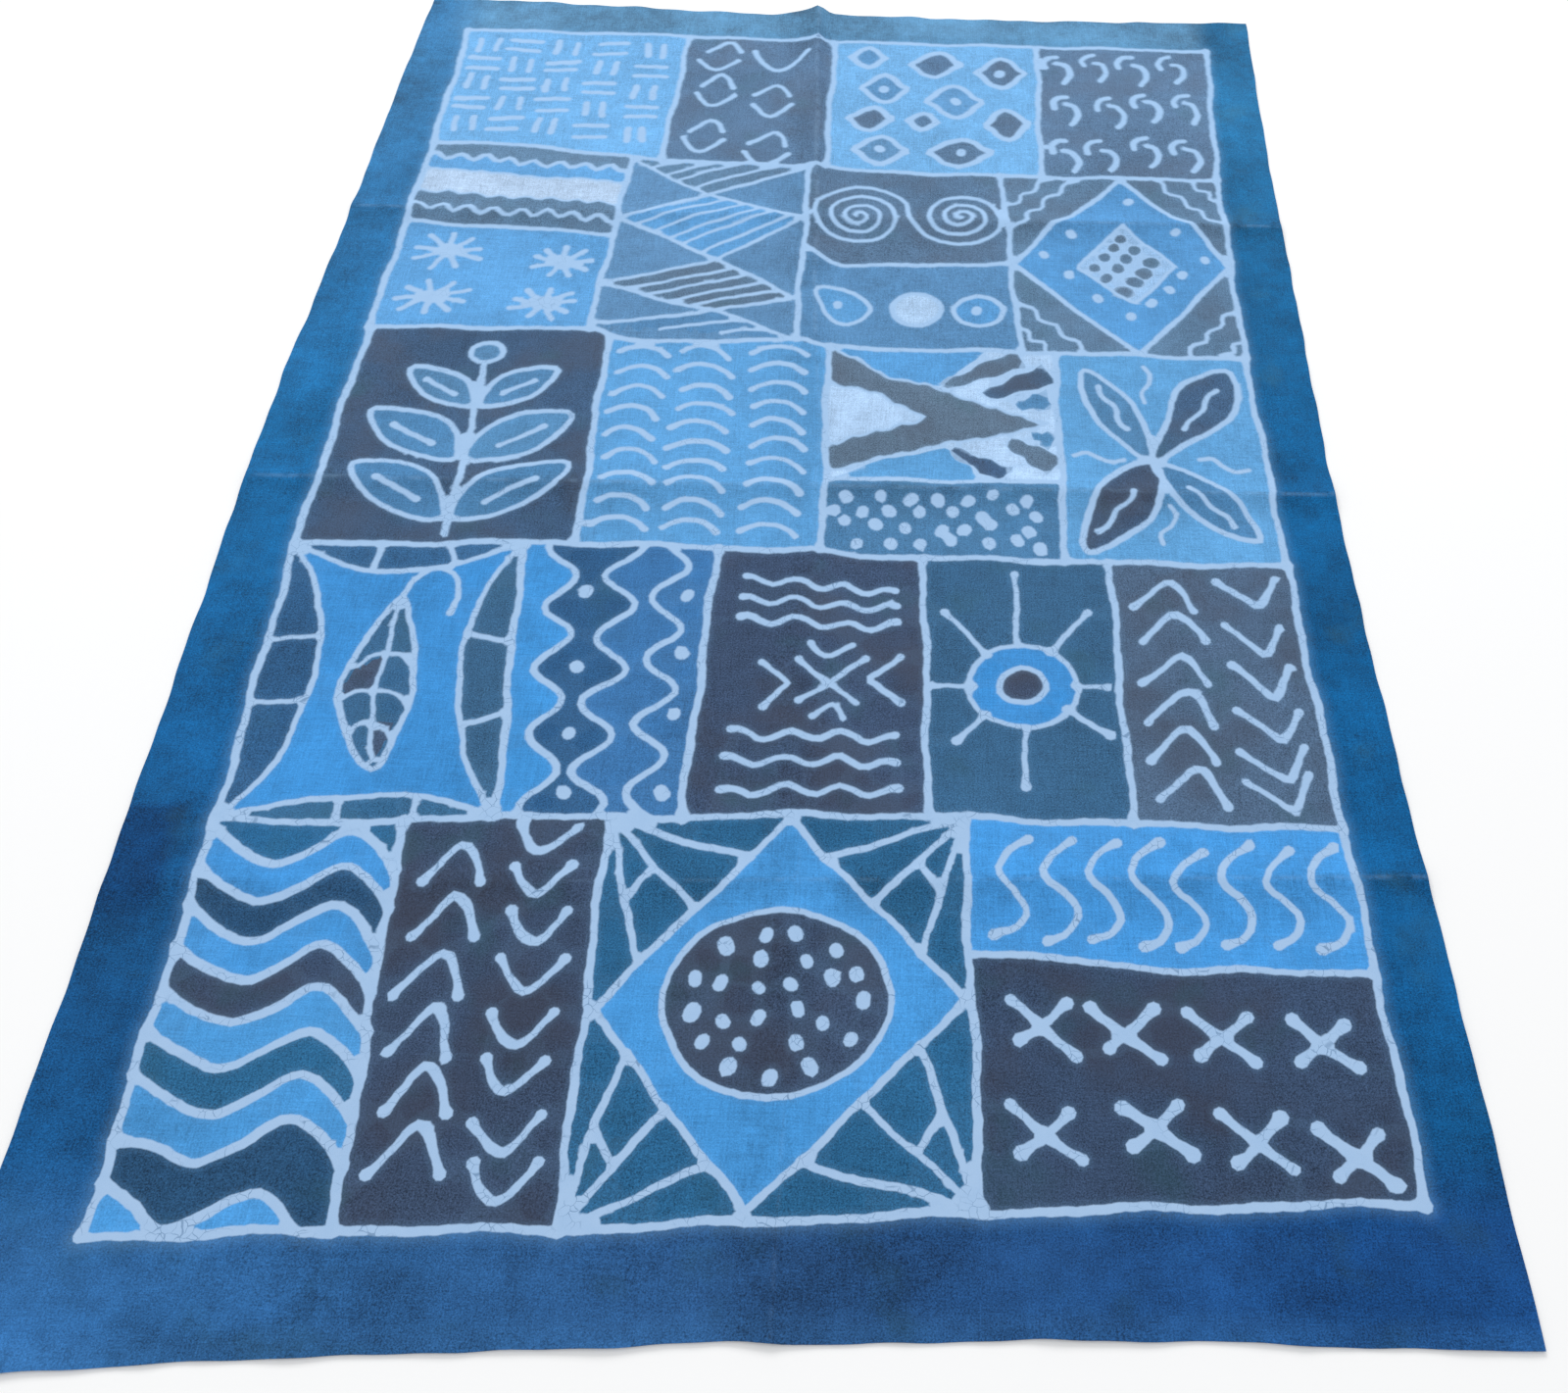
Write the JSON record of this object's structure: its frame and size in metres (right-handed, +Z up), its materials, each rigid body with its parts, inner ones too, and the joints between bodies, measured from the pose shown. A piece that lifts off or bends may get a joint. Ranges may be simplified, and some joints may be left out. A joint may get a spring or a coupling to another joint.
{
  "type": "adire indigo cloth",
  "caption": "Flat oblong resist-dyed cotton cloth, indigo border around a framed patchwork of light and dark motif panels, with soft fold creases.",
  "frame": {"origin": "bottom centre of the bounding box, on the surface that the cloth lies on", "axes": "+X runs across the cloth from its left side edge to its right, +Y runs along it from the near end to the far end, +Z points up out of the dyed face"},
  "size_m": [1.468, 2.3232, 0.0195],
  "materials": {
    "indigo_cotton": "matt plain-weave cotton, wax-resist dyed in light blue, indigo and charcoal"
  },
  "bodies": {
    "root": {"adire_cloth": "indigo_cotton"}
  },
  "joints": []
}
